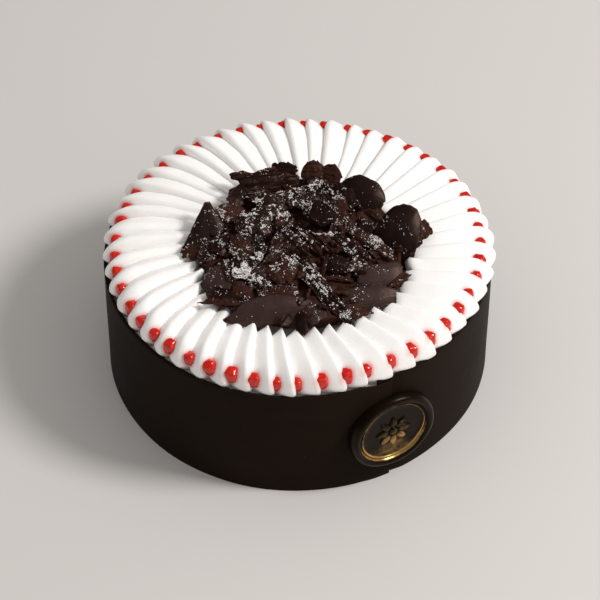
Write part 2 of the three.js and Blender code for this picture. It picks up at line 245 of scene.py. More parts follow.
def cake_cream():
    finish = Finish("coating_cream", roughness=0.55)
    place = finish.place()
    smears = finish.noise(finish.stretched(place, 1, 1, 4), 60, 3)
    finish.set("Base Color", finish.blend(smears, (0.80, 0.76, 0.70), (0.90, 0.87, 0.83)))
    finish.bump(smears + finish.noise(place, 900) * 0.3, 0.5, 0.5)
    return finish.material


cake = start_piece(bpy.ops.mesh.primitive_cylinder_add, vertices=CAKE_SIDES, radius=1, depth=1)
rim = CAKE_RADIUS - COLLAR_THICKNESS - CAKE_CLEARANCE


def on_cake(point):
    """Where a point of the plain cylinder lies on the cake, inside the strip."""
    angle = math.atan2(point.y, point.x)
    away = math.hypot(point.x, point.y) * (rim + CAKE_RADIUS * (roundness(angle) - 1))
    return polar(away, angle, (point.z + 0.5) * CAKE_TOP)


reshape(cake, on_cake)
apply_modifier(cake, "BEVEL", width=SHOULDER, segments=3, limit_method="ANGLE")
finish_mesh(cake, cake_cream(), sharp=40)
cake.name = "cake_round"
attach(cake, "root")
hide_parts("frosted_cake")


# The strip of chocolate: dark chocolate spread thin on film, bent round the cake before it set,
# and peeled, which left a satin skin with a few smears. Its rim was cut by hand, and its thinned
# ends lap behind the seal, where the end underneath sits a little high.
COLLAR_HEIGHT = 70.0
SEAM = math.radians(-90)
LAP = math.radians(4.5)
LAP_EASE = math.radians(5)
# The end on top stands out by the bulge, and the end under it is pressed in. Both are thinned
LAP_BULGE = 0.4
LAP_SINK = 0.9
THINNED_UNDER = 0.5
THINNED_OVER = 0.65
RIM_RISE = 2.0
RIM_RISE_SPAN = math.radians(120)
RIM_UNEVEN = 0.35
RIM_EDGE = 0.35
SKIN_WAVE = 0.25
STRIP_STEPS = 420
STRIP_ROWS = 24


def collar_chocolate():
    finish = Finish("strip_chocolate", specular_ior_level=0.035, specular_tint=(1.0, 0.75, 0.6, 1))
    place = finish.place()
    smears = finish.noise(finish.stretched(place, 1, 1, 3), 22, 4, 0.6)
    grain = finish.noise(place, 420, 3)
    flecks = finish.noise(place, 700, 1).rise(0.72, 0.8)
    dark = finish.blend(smears, (0.0080, 0.0048, 0.0032), (0.0165, 0.0096, 0.0063))
    finish.set("Base Color", finish.blend(flecks * 0.35, dark, (0.06, 0.035, 0.025)))
    finish.set("Roughness", 0.40 + smears * 0.16 + grain * 0.08)
    finish.bump(smears + grain * 0.08 + flecks * 0.15, 0.5, 0.25)
    return finish.material


strip = start_piece(
    bpy.ops.mesh.primitive_grid_add, x_subdivisions=STRIP_STEPS, y_subdivisions=STRIP_ROWS, size=1
)
thickness = strip.vertex_groups.new(name="thickness")
sweep = 2 * math.pi + LAP


def laps(along):
    """How much a place along the strip is of the end under the lap, and of the end over it."""
    under = 1 - smoothstep(along, LAP, LAP + LAP_EASE)
    over = smoothstep(along, sweep - LAP - LAP_EASE, sweep - LAP)
    return under, over


for vertex in strip.data.vertices:
    under, over = laps((vertex.co.x + 0.5) * sweep)
    thickness.add([vertex.index], 1 - THINNED_UNDER * under - THINNED_OVER * over, "REPLACE")


def on_strip(point):
    """Where a point of the flat strip lies once the strip is bent round the cake."""
    along = (point.x + 0.5) * sweep
    angle = SEAM - LAP + along
    under, over = laps(along)
    cut = noise.noise(polar(3.2, angle, 7)) + 0.5 * noise.noise(polar(11, angle, 3))
    rim = COLLAR_HEIGHT + RIM_UNEVEN * cut
    rim += RIM_RISE * (1 - smoothstep(along, 0, RIM_RISE_SPAN))
    height = (point.y + 0.5) * rim
    wave = SKIN_WAVE * noise.noise(polar(2.6, angle, height / 30))
    outer = CAKE_RADIUS * roundness(angle) + wave
    outer += over * LAP_BULGE - under * LAP_SINK
    return polar(outer, angle, height)


reshape(strip, on_strip)
apply_modifier(
    strip, "SOLIDIFY", thickness=COLLAR_THICKNESS, offset=-1, vertex_group="thickness",
    use_even_offset=True,
)
apply_modifier(
    strip, "BEVEL", width=RIM_EDGE, segments=2, limit_method="ANGLE",
    angle_limit=math.radians(60),
)
finish_mesh(strip, collar_chocolate(), sharp=50)
strip.name = "chocolate_strip"
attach(strip, "root")
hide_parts("chocolate_collar")


# The seal: a disc of dark chocolate pressed with a stamp while soft, and stuck over the strip's
# seam with melted chocolate. The stamp squeezed up a rolled rim round a sunken field, which holds
# a thin ring and a plain rosette of eight petals. Gold dust was brushed on and clings to the ring.
SEAL_RADIUS = 23.7
SEAL_HEIGHT = 35.0
SEAL_FIELD = 2.4
SEAL_SIDES = 96
# Outwards from the middle: the share of the radius, and how proud of the strip it stands
SEAL_RINGS = [
    (1.0, 0.0), (1.012, 0.7), (1.008, 1.9), (0.995, 3.0), (0.975, 3.9), (0.94, 4.5), (0.905, 4.65),
    (0.87, 4.5), (0.845, 4.1), (0.825, 3.4), (0.812, 2.8), (0.8, 2.45), (0.79, SEAL_FIELD),
    (0.78, 2.5), (0.772, 2.85), (0.762, 3.05), (0.752, 3.05), (0.742, 2.85), (0.734, 2.5),
    (0.724, SEAL_FIELD), (0.6, SEAL_FIELD), (0.4, SEAL_FIELD), (0.2, SEAL_FIELD),
]
SEAL_UNEVEN = 0.35
SEAL_WANDER = 0.012
ROSETTE_PETALS = 8
ROSETTE_RADIUS = 6.4
# Half the length, width and height of a petal of the rosette, how it tapers, and its groove
ROSETTE_PETAL = Vector((3.9, 2.1, 1.25))
ROSETTE_TAPER = 0.35
ROSETTE_GROOVE = 0.35
ROSETTE_EYE = 2.5
# Where the gold dust clings: on the ring and at the rim's foot, as shares of the radius
GILT_RING = 0.757
GILT_RING_WIDTH = 0.022
GILT_FOOT = 0.815
GILT_FOOT_WIDTH = 0.016


def seal_chocolate():
    finish = Finish("seal_chocolate", specular_ior_level=0.13, specular_tint=(1.0, 0.72, 0.5, 1))
    place = finish.place()
    grain = finish.noise(place, 500, 3)
    patches = finish.noise(place, 110, 4, 0.6)
    gilt = finish.attribute("gilt")
    dust = (gilt * (patches * 0.9 + grain * 0.8)).rise(0.24, 0.78)
    finish.set("Base Color", finish.blend(dust, (0.0062, 0.0034, 0.0019), (0.60, 0.36, 0.12)))
    finish.set("Metallic", dust * 0.8)
    finish.set("Roughness", 0.27 + grain * 0.14)
    finish.bump(patches * 0.5 + grain * 0.3, 0.3, 0.5)
    return finish.material


seal_front = CAKE_RADIUS * roundness(SEAM) + LAP_BULGE
seal = start_piece(
    bpy.ops.mesh.primitive_circle_add, vertices=SEAL_SIDES, radius=SEAL_RADIUS, fill_type="NGON",
    rotation=(math.radians(90), 0, 0),
)
ring_steps = []
for (share, proud), (last_share, last_proud) in zip(SEAL_RINGS[1:], SEAL_RINGS):
    ring_steps.append((bpy.ops.mesh.extrude_region_move, {}))
    ring_steps.append((bpy.ops.transform.resize, {"value": (share / last_share,) * 3}))
    ring_steps.append((bpy.ops.transform.translate, {"value": (0, last_proud - proud, 0)}))
edit(seal, *ring_steps, (bpy.ops.mesh.poke, {}))


def rosette_petal(point):
    """A pointed petal: it narrows outwards, and has a groove down its middle."""
    groove = ROSETTE_GROOVE * math.exp(-((point.y * 4) ** 2))
    long, wide, high = ROSETTE_PETAL
    narrowed = wide * (1 - ROSETTE_TAPER * point.x)
    return Vector((point.x * long, point.y * narrowed, point.z * (high - groove)))


rosette = []
for petal in range(ROSETTE_PETALS):
    turn = Matrix.Rotation(petal / ROSETTE_PETALS * 2 * math.pi, 3, "Z")
    relief = start_piece(
        bpy.ops.mesh.primitive_uv_sphere_add, segments=24, ring_count=14, radius=1
    )
    reshape(relief, rosette_petal)
    reshape(relief, lambda p: turn @ (p + Vector((ROSETTE_RADIUS, 0, SEAL_FIELD))))
    reshape(relief, lambda p: Vector((p.x, -p.z, p.y)))
    rosette.append(relief)
eye = start_piece(
    bpy.ops.mesh.primitive_uv_sphere_add, segments=32, ring_count=16, radius=ROSETTE_EYE
)
reshape(eye, lambda p: Vector((p.x, -p.z * 0.6 - SEAL_FIELD, p.y)))
seal = join([seal, *rosette, eye], "stamped_seal")


def pressed(point):
    """The seal's front is uneven from the press, and its back follows the strip."""
    away = math.hypot(point.x, point.z) / SEAL_RADIUS
    angle = math.atan2(point.z, point.x)
    east, north = math.cos(angle), math.sin(angle)
    squeeze = SEAL_UNEVEN * noise.noise(Vector((east, north, away * 2)) * 1.7)
    spread = 1 + SEAL_WANDER * noise.noise(Vector((east, north, 4)) * 1.3)
    across = point.x * spread
    at_back = -point.y < 0.05
    if at_back:
        depth = seal_front - math.sqrt(seal_front ** 2 - across ** 2)
    else:
        depth = point.y - squeeze * smoothstep(away, 0.5, 0.9)
    return Vector((across, depth, point.z * spread))


def bell(value, middle, width):
    """A soft bump from 0 up to 1 round a middle value."""
    return math.exp(-(((value - middle) / width) ** 2))


reshape(seal, pressed)
gilt = seal.data.attributes.new("gilt", "FLOAT", "POINT")
for vertex in seal.data.vertices:
    away = math.hypot(vertex.co.x, vertex.co.z) / SEAL_RADIUS
    # The lower half holds the most dust, and some has settled low in the field
    lower = 0.45 + 0.55 * smoothstep(-vertex.co.z, -4, 12)
    on_ring = bell(away, GILT_RING, GILT_RING_WIDTH)
    on_ring += 0.9 * bell(away, GILT_FOOT, GILT_FOOT_WIDTH) * lower
    raised = smoothstep(-vertex.co.y, SEAL_FIELD + 0.15, SEAL_FIELD + 1.0) * (away < 0.6)
    settled = 0.1 + 0.42 * bell(vertex.co.x, 0, 11) * bell(vertex.co.z, -11, 6)
    dust = (on_ring + 0.45 * raised) * lower + settled * (away < 0.8)
    gilt.data[vertex.index].value = min(1.0, dust)
edit(seal, (bpy.ops.mesh.normals_make_consistent, {"inside": False}))
reshape(seal, lambda p: p + Vector((0, -seal_front, SEAL_HEIGHT)))
finish_mesh(seal, seal_chocolate(), sharp=60)
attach(seal, "root")
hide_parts("chocolate_seal")


# The piped cream: stiff whipped cream, piped as a ring of petals from a flat tip. Each starts as
# a round nose over the cake's edge and is drawn inwards to a point, and leans over the next one.
PETALS = 49
PETAL_OUTER = 99.0
PETALS_BASE = CAKE_TOP + CAKE_CLEARANCE
PETAL_PITCH = 2 * math.pi / PETALS
CREASE_PHASE = math.radians(1.3)
PETAL_TURN = math.radians(-6)
# How much of their drawn unevenness the petals' spacing keeps
SPACING = 0.6
# The petals were piped closer together at the front. Directions are in degrees
FRONT_MIDDLE = 230
FRONT_SQUEEZE = math.radians(2.4)
HEAP_CENTRE = Vector((-2.0, -10.2))
HOLE_RADIUS = 54.0
# A petal reaches these shares of the pitch past its two creases, into its neighbours
PETAL_OVERLAP = 0.25
PETAL_LIP = 0.06
PETAL_HEIGHT = 16.0
# How deep the creases are at the nose and further in
NOSE_DEPTH = 12.0
CREASE_DEPTH = 6.2
NOSE_LENGTH = 0.24
# How far a nose bulges out over the rim, and how much less it does so at the front and front left
NOSE_BULGE = 4.8
NOSE_TUCK = 1.5
FRONT = 242
FRONT_LEFT = 195
TIP_START = 0.8
# The crest leans over the next petal, least in the upright direction
CREST_ACROSS = 0.77
CREST_UPRIGHT = 0.25
UPRIGHT = 190
PETAL_SIDES = 44
PETAL_LOOPS = 36
# The share of a petal's points that lie over its top, the rest being under it
TOP_SHARE = 0.8
# From a tent at 0 to a round arch at 1
RIDGE_ROUNDNESS = 0.44
# How steeply a petal's other side falls to the crease, from 2 for a round arch
SIDE_FULLNESS = 2.8


def seeded(seed):
    """A generator that draws the same numbers as the solids' one."""
    state = seed

    def draw(low, high):
        nonlocal state
        state = (state + 0x6D2B79F5) & 0xFFFFFFFF
        t = ((state ^ (state >> 15)) * (1 | state)) & 0xFFFFFFFF
        t = ((t + (((t ^ (t >> 7)) * (61 | t)) & 0xFFFFFFFF)) ^ t) & 0xFFFFFFFF
        return low + (high - low) * (t ^ (t >> 14)) / 2 ** 32

    return draw


# For each petal: how far off its place it is, its height, and how far out it reaches
draw_petal = seeded(49)
uneven = [
    (draw_petal(-0.16, 0.16), draw_petal(0.95, 1.04), draw_petal(-0.9, 0.3)) for _ in range(PETALS)
]
draw_tip = seeded(31)
tip_lift = [draw_tip(-1.8, 1.6) for _ in range(PETALS)]
tip_reach = [draw_tip(1.0, 1.07) for _ in range(PETALS)]


def hole_edge(angle):
    """How far the edge of the heap's hole is from the cake's middle in a direction."""
    offset = HEAP_CENTRE.length
    turned = angle - math.atan2(HEAP_CENTRE.y, HEAP_CENTRE.x)
    beside = offset * math.sin(turned)
    return offset * math.cos(turned) + math.sqrt(HOLE_RADIUS ** 2 - beside ** 2)


def facing(angle, direction):
    """1 for an angle in a direction given in degrees, falling to 0 at a right angle to it."""
    return max(0.0, math.cos(angle - math.radians(direction)))


def petal_angle(petal, across):
    """The direction of a place across a petal, from one crease at 0 to the other at 1."""
    here = SPACING * uneven[petal % PETALS][0]
    following = SPACING * uneven[(petal + 1) % PETALS][0]
    angle = CREASE_PHASE + (petal + across + mix(here, following, across)) * PETAL_PITCH
    squeeze = math.sin(2 * (angle - math.radians(FRONT_MIDDLE)))
    return angle - FRONT_SQUEEZE * squeeze * math.sqrt(facing(angle, FRONT_MIDDLE))


def petal_section(round_share, crest_across):
    """A place round a petal's section: how far across the petal, and the share of its height.

    Below 0 the share goes down to the base, out of sight under the neighbours."""
    if round_share <= TOP_SHARE:
        turn = math.pi * round_share / TOP_SHARE
        away = abs(math.cos(turn))
        if turn < math.pi / 2:
            slope = mix(1 - away, math.sin(turn), RIDGE_ROUNDNESS)
            return mix(crest_across, -PETAL_OVERLAP, away), slope
        steep = (1 - away ** SIDE_FULLNESS) ** (1 / SIDE_FULLNESS)
        return mix(crest_across, 1 + PETAL_LIP, away), steep
    under = (round_share - TOP_SHARE) / (1 - TOP_SHARE)
    return mix(1 + PETAL_LIP, -PETAL_OVERLAP, under), -min(1.0, 4 * under, 4 * (1 - under))


def petal_place(petal, point):
    """Where a point of the unit sphere lies on a petal. The sphere's top is the petal's nose."""
    along = math.acos(max(-1.0, min(1.0, point.z))) / math.pi
    round_share = (math.atan2(point.y, point.x) / (2 * math.pi)) % 1.0
    swell, reach = uneven[petal][1:]
    inwards = mix(along, along ** 2.2, 0.75)
    middle = petal_angle(petal, 0.5)
    crest_across = CREST_ACROSS - CREST_UPRIGHT * facing(middle, UPRIGHT) ** 3
    across, share = petal_section(round_share, crest_across)
    # The nose is round in plan, and the inner end runs to a point
    nose = (1 - (1 - min(1.0, inwards / NOSE_LENGTH)) ** 2) ** 0.42
    tip = 1 - max(0.0, (inwards - TIP_START) / (1 - TIP_START)) ** 1.5
    across = crest_across + (across - crest_across) * nose * tip
    crest = PETAL_HEIGHT * swell * (1 - (1 - min(1.0, inwards / 0.3)) ** 2) ** 0.4
    crest += tip_lift[petal] * smoothstep(inwards, 0.8, 1) - 1.4 * smoothstep(inwards, 0.4, 0.9)
    depth = mix(NOSE_DEPTH, CREASE_DEPTH, smoothstep(inwards, 0.1, 0.5))
    depth -= 1.2 * smoothstep(inwards, 0.5, 0.9)
    # The creases are deepest at the front left
    depth = min(crest, depth * (0.78 + 0.22 * math.cos(middle - math.radians(210))))
    height = crest - depth * (1 - share) if share > 0 else (crest - depth) * (1 + share)
    angle = petal_angle(petal, across) + PETAL_TURN * inwards
    bulge = NOSE_BULGE - NOSE_TUCK * (facing(middle, FRONT) + facing(middle, FRONT_LEFT) ** 2)
    bulge *= smoothstep(height, 0, 5.5)
    outer = (PETAL_OUTER + reach + bulge) * roundness(angle)
    radius = mix(outer, hole_edge(angle), inwards * tip_reach[petal])
    spot = polar(radius, angle, PETALS_BASE + max(0.0, height))
    return spot + 0.25 * noise.noise_vector(Vector((spot.x / 9, spot.y / 9, petal * 1.7)))


def whipped_cream():
    finish = Finish(
        "whipped_cream", subsurface_weight=0.35, subsurface_scale=0.0013,
        subsurface_radius=(1.0, 0.8, 0.7), subsurface_anisotropy=0.2,
    )
    place = finish.place()
    strokes = finish.noise(finish.stretched(finish.node("UVMap", {}, {}), 60, 2, 1), 1, 2)
    grain = finish.noise(place, 1500, 2)
    soft = finish.noise(place, 90, 2)
    white = finish.blend(soft, (0.945, 0.918, 0.900), (0.975, 0.958, 0.942))
    finish.set("Base Color", finish.blend(finish.attribute("stain"), white, (0.80, 0.22, 0.17)))
    finish.set("Roughness", 0.46 + grain * 0.14)
    finish.bump(strokes * 0.8 + grain * 0.3 + soft * 0.5, 0.35, 0.6)
    return finish.material


petals = []
for petal in range(PETALS):
    piece = start_piece(
        bpy.ops.mesh.primitive_uv_sphere_add, segments=PETAL_SIDES, ring_count=PETAL_LOOPS, radius=1
    )
    uv = piece.data.uv_layers.active.data
    for loop in piece.data.loops:
        point = piece.data.vertices[loop.vertex_index].co
        uv[loop.index].uv = (
            abs(math.atan2(point.y, point.x)) / math.pi + petal * 1.37,
            math.acos(max(-1.0, min(1.0, point.z))) / math.pi,
        )
    reshape(piece, lambda point, petal=petal: petal_place(petal, point))
    petals.append(piece)
cream = join(petals, "piped_petals")
edit(cream, (bpy.ops.mesh.normals_make_consistent, {"inside": False}))


# The cherry gel: one drop in each notch between two noses, set from a squeeze bottle, each a
# little different in size. A little of its colour has bled into the cream round it.
DROP_INWARDS = 0.095
DROP_LIFT = 8.8
# The ones at the right sit higher in their notches, and those at the very front have run down
DROP_LIFT_RANGE = 1.8
DROP_RUN = 2.2
RUN_MIDDLE = 240
# Those at the front left lie further up and out, on the cream
DROP_OUT = 0.9
DROP_SIZE = Vector((3.42, 3.51, 4.14))
# From a cube at 0 to an egg at 1
DROP_ROUNDNESS = 0.72
BLEED = 1.2


def cherry_gel():
    finish = Finish(
        "cherry_gel", roughness=0.2, coat_weight=0.25, coat_roughness=0.05, subsurface_weight=0.15,
        subsurface_scale=0.002, subsurface_radius=(1.0, 0.15, 0.1),
    )
    place = finish.place()
    cloud = finish.noise(place, 260, 2)
    finish.set("Base Color", finish.blend(cloud, (0.42, 0.006, 0.003), (0.70, 0.028, 0.014)))
    finish.bump(cloud, 0.3, 0.4)
    return finish.material


draw_drop = seeded(19)
drops = []
for petal in range(PETALS):
    angle = petal_angle(petal, 0) + PETAL_TURN * DROP_INWARDS
    size = mix(1, draw_drop(0.8, 1.2), 0.5)
    radius = mix(PETAL_OUTER * roundness(angle), hole_edge(angle), DROP_INWARDS)
    lift = DROP_LIFT + DROP_LIFT_RANGE * math.cos(angle + math.radians(28))
    front_left = facing(angle, FRONT_LEFT) ** 2
    lift += DROP_OUT * front_left - DROP_RUN * facing(angle, RUN_MIDDLE) ** 40
    radius += DROP_OUT * front_left
    size *= 0.93 - 0.06 * front_left
    centre = polar(radius, angle, PETALS_BASE + lift)
    drop = start_piece(
        bpy.ops.mesh.primitive_uv_sphere_add, segments=28, ring_count=18, radius=1
    )
    turn = Matrix.Rotation(angle, 3, "Z")

    def set_drop(point):
        bulge = size * (1.02 + 0.16 * noise.noise(point * 1.6 + Vector((petal * 3.1, 0, 0))))
        squared = (math.copysign(abs(value) ** DROP_ROUNDNESS, value) for value in point)
        return centre + turn @ Vector((a * b * bulge for a, b in zip(squared, DROP_SIZE)))

    reshape(drop, set_drop)
    drops.append(drop)
gel = join(drops, "gel_drops")
finish_mesh(gel, cherry_gel())
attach(gel, "root")
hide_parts("piped_cream")

stain = cream.data.attributes.new("stain", "FLOAT", "POINT")
near_drop = BVHTree.FromPolygons(
    [vertex.co * METRE for vertex in gel.data.vertices],
    [tuple(face.vertices) for face in gel.data.polygons],
)
for vertex in cream.data.vertices:
    distance = near_drop.find_nearest(vertex.co, 4.0)[3]
    if distance is not None:
        stain.data[vertex.index].value = 0.5 * math.exp(-((distance / BLEED) ** 2))
finish_mesh(cream, whipped_cream())
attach(cream, "root")
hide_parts("piped_cream")


# The heap: thick shavings of dark chocolate, scraped off a block and heaped by hand. The sides
# that the scraper left are smooth, with a purplish bloom that on some is partly painted sheen,
# and the broken ones rough and brown.
# Each one's place is seen with the seal 28 degrees to the right, as in the solids.
VIEW_TURN = math.radians(-28)
HEAP_TURN = Matrix.Rotation(VIEW_TURN, 4, "Z")
# For each kind of shaving: its thickness, the depth of its grooves, lumps and grit, how ragged
# its outline is, and how brown it is, which is less than 0 for a pale bloom with painted sheen
KINDS = {
    kind: dict(zip(("thick", "grooves", "lumps", "grit", "ragged", "brown_and_sheen"), values))
    for kind, values in {
        "smooth": (1.5, 0.06, 0.10, 0.03, 0.10, 0.0),
        # This kind's pale bloom colour is partly painted sheen, for the light these shavings catch
        "bloomed_with_sheen": (1.5, 0.10, 0.10, 0.05, 0.10, -0.8),
        "plain": (1.2, 0.25, 0.30, 0.13, 0.20, 0.25),
        "grooved": (1.3, 0.75, 0.30, 0.20, 0.20, 0.45),
        "rough": (1.6, 0.45, 0.60, 0.42, 0.28, 0.8),
    }.items()
}
# Half the width of each form of shaving, from its one end at -1 to its other at 1
FORMS = {
    "slab": lambda along: 1 - 0.25 * along ** 4,
    "leaf": lambda along: 1 - 0.75 * along ** 2,
    "round": lambda along: math.sqrt(max(0.03, 1 - 0.93 * along ** 2)),
    "point": lambda along: 1.1 - 0.5 * (along + 1),
}


def shave(
    x, y, lift, long, wide, turn, roll, kind="plain", sugar=0.3, rise=0, curl=20, bow=20,
    form="slab",
):
    """The place of a shaving's middle, over the strip's rim, its size, tilt, kind and sugar."""
    return {
        "at": Vector((x, y, COLLAR_HEIGHT + lift)), "long": long, "wide": wide, "turn": turn,
        "roll": roll, "rise": rise, "kind": kind, "sugar": sugar, "curl": curl, "bow": bow,
        "form": form,
    }


SHAVINGS = [
    # round the back and the right, standing up against the cream
    shave(-17, 34.5, 18.5, 40, 16, 12, 46, "grooved", 0.05, curl=40, bow=12),
    shave(-7, 41, 21.5, 13, 10, -6, 60, "plain", 0, curl=10),
    shave(9, 38.5, 19.5, 13, 18, 5, 60, "rough", 0, curl=25, bow=30, form="round"),
    shave(17, 38, 18.5, 12, 17, -12, 62, "rough", 0, curl=25, bow=30, form="round"),
    shave(32.5, 24.5, 17, 26, 26, -18, 44, "smooth", 0.02, rise=-6, curl=60, bow=30, form="round"),
    shave(50, -8, 17.5, 24, 42, -24, 52, "smooth", 0.04, rise=-6, curl=75, bow=40, form="round"),
    shave(57, -9, 15, 8, 24, -24, 44, "rough", 0.35, rise=-35, curl=60),
    shave(57, -9, 14, 17, 12, 55, -30, "plain", 0.15, rise=10, curl=40),
    shave(65.5, 2, 17, 14, 9, 80, 10, "rough", 0.02, form="leaf"),
    # round the left
    shave(-46, 3, 17.5, 27, 28, 94, 4, "smooth", 0.12, rise=34, curl=12, bow=15, form="point"),
    shave(-53, -13, 15, 13, 9, -30, 20, "rough", 0.1),
    shave(-34, 13, 19, 16, 12, 50, 20, "rough", 0.4, curl=30),
    shave(-30, 25, 19, 14, 9, 60, 25, "plain", 0.1),
    shave(-45, -14, 16.5, 18, 10, 62, 15, "plain", 0.6, bow=15, form="leaf"),
    shave(-37, -11, 19, 15, 9, 50, 15, "plain", 0.3),
    # the middle
    shave(-16, 20, 22, 22, 9, -4, 20, "grooved", 1, curl=60, bow=50),
    shave(-18, 2, 22, 30, 16, 25, 25, "plain", 0.7, curl=35),
    shave(4, 22, 21, 20, 13, 30, 20, "plain", 0.7),
    shave(14, 26, 21, 26, 9, -62, 15, "grooved", 0.6, rise=-5, curl=30, bow=25),
    shave(22, 16, 21, 14, 8, -70, 10, "rough", 0.2),
    shave(24, 25, 19, 18, 11, -40, 20, "plain", 0.2),
    shave(12, 8, 23, 17, 13, -30, 20, "smooth", 0.2, curl=25),
    shave(24, 0, 22, 15, 10, -60, 15, "rough", 0.2),
    shave(33, -2, 21, 13, 11, -60, 25, "smooth", 0.1),
    shave(-8, -10, 25, 26, 6, 62, -10, "grooved", 0.3, rise=5, bow=15, form="leaf"),
    shave(-9, -22, 24, 21, 6, 46, 15, "grooved", 0.5, rise=5, bow=15, form="leaf"),
    shave(-1, -16, 26, 26, 5, -48, 35, "grooved", 0.3, rise=-8, curl=30, bow=15, form="leaf"),
    shave(5, -15, 26, 26, 5, -50, 25, "grooved", 0.3, rise=-8, curl=30, bow=15, form="leaf"),
    shave(11, -13, 22.5, 22, 6, -46, 20, "grooved", 0.3, rise=-8, curl=30, bow=15, form="leaf"),
    shave(37, -9, 20, 36, 8, -36, 15, "rough", 0.5, rise=-6, curl=35, bow=22, form="leaf"),
    shave(27, -16, 22, 30, 8, -42, 15, "grooved", 0.7, rise=-5, curl=35, form="leaf"),
    shave(22, -29, 21, 15, 9, -30, 25, "smooth", 0.3, rise=-5),
    shave(-20, -17, 22, 18, 8, 84, -10, "plain", 0.8, curl=30),
    shave(-30, -16, 21, 18, 10, -58, 10, "rough", 0.4),
    # round the front
    shave(-6, -31, 22, 19, 17, 20, 12, "rough", 0.5, curl=80, bow=60),
    shave(12, -43, 19, 52, 9, -53, 12, "grooved", 0.5, rise=-12, curl=30, bow=18, form="leaf"),
    shave(-18, -40, 19, 18, 8, -38, 30, "plain", 0.9, rise=-8, curl=30, bow=40, form="leaf"),
    shave(-26, -31, 21, 22, 13, 10, 15, "plain", 1, curl=25),
    shave(-41, -37, 16, 19, 15, -60, 28, "bloomed_with_sheen", 0.1, rise=-15, curl=30),
    shave(-35, -50.5, 15.7, 29, 4, -4, 0, "rough", 0.1, curl=10, bow=6, form="leaf"),
    shave(-15, -57, 16, 46, 16, 10, 45, "bloomed_with_sheen", 0.01, rise=2, curl=60, form="leaf"),
    shave(-34, -46, 15.3, 22, 13, -30, 5, "plain", 0.1, bow=10),
    shave(9, -57, 15, 15, 10, -72, 10, "bloomed_with_sheen", 0.1, rise=-12, bow=10),
    shave(2, -63, 13.5, 13, 6, -80, 20, "plain", 0, rise=-12),
    shave(-5, -62, 14.5, 10, 5, 60, 25, "plain", 0, form="leaf"),
    shave(42, -33, 17, 25, 14, 12, 32, "bloomed_with_sheen", 0.05, curl=30),
    shave(37, -46, 15, 28, 13, 12, 35, "bloomed_with_sheen", 0.05, rise=2, curl=40),
    shave(29, -56, 14, 18, 6, 4, 20, "rough", 0.2, form="leaf"),
    shave(52, -33, 15, 14, 8, 60, -10, "rough", 0.2),
    shave(-7, -46, 18, 15, 8, 4, 25, "rough", 0.5, bow=15),
    shave(-28, -43, 17, 12, 8, -30, 20, "rough", 0.3),
]
CORE_FOOT = 12.5
# What isn't placed one by one is scattered by a spiral that fills a round evenly
SPIRAL_TURN = math.radians(137.5)
SMALL_SHAVINGS = 10
SMALL_SPREAD = 46.0
SMALL_TOP = 22.0
draw_small = seeded(7)
for i in range(SMALL_SHAVINGS):
    away = SMALL_SPREAD * math.sqrt((i + 0.5) / SMALL_SHAVINGS)
    around = i * SPIRAL_TURN
    lift = mix(SMALL_TOP, CORE_FOOT + 3, (away / SMALL_SPREAD) ** 2)
    # The last draw is a taper, which only the solids have
    long, wide, turn, rise, roll, _ = (
        draw_small(*span) for span in ((9, 15), (6, 9), (0, 180), (-20, 20), (-25, 35), (0.2, 0.5))
    )
    x, y = 3 + away * math.cos(around), -9 + away * math.sin(around)
    SHAVINGS.append(shave(x, y, lift, long, wide, turn, roll, "rough", 0.5, rise=rise))

# Chips and crumbs that fell among them
CHIPS = 80
CHIP_SPREAD = 50.0
CHIP_TOP = 21.0
draw_chip = random.Random(23)
for i in range(CHIPS):
    away = CHIP_SPREAD * math.sqrt((i + 0.5) / CHIPS)
    around = i * SPIRAL_TURN + 0.7
    lift = mix(CHIP_TOP, CORE_FOOT + 1.5, (away / CHIP_SPREAD) ** 2)
    SHAVINGS.append(
        shave(
            1 + away * math.cos(around), -9.5 + away * math.sin(around), lift,
            draw_chip.uniform(4, 15), draw_chip.uniform(1.8, 5.5), draw_chip.uniform(0, 180),
            draw_chip.uniform(-60, 60), draw_chip.choice(("rough", "plain", "grooved")),
            draw_chip.uniform(0, 0.4), rise=draw_chip.uniform(-40, 40),
            form=draw_chip.choice(("slab", "leaf")),
        )
    )


def arc(share, half, bend):
    """A place on an arc from its middle: how far along it, and how far it has dropped."""
    half_bend = max(math.radians(bend) / 2, 1e-3)
    turned = share * half_bend
    return math.sin(turned) * half / half_bend, (math.cos(turned) - 1) * half / half_bend


# How many steps a shaving's mesh has for each millimetre along and across it
STEPS_LONG = 1.45
STEPS_WIDE = 1.55


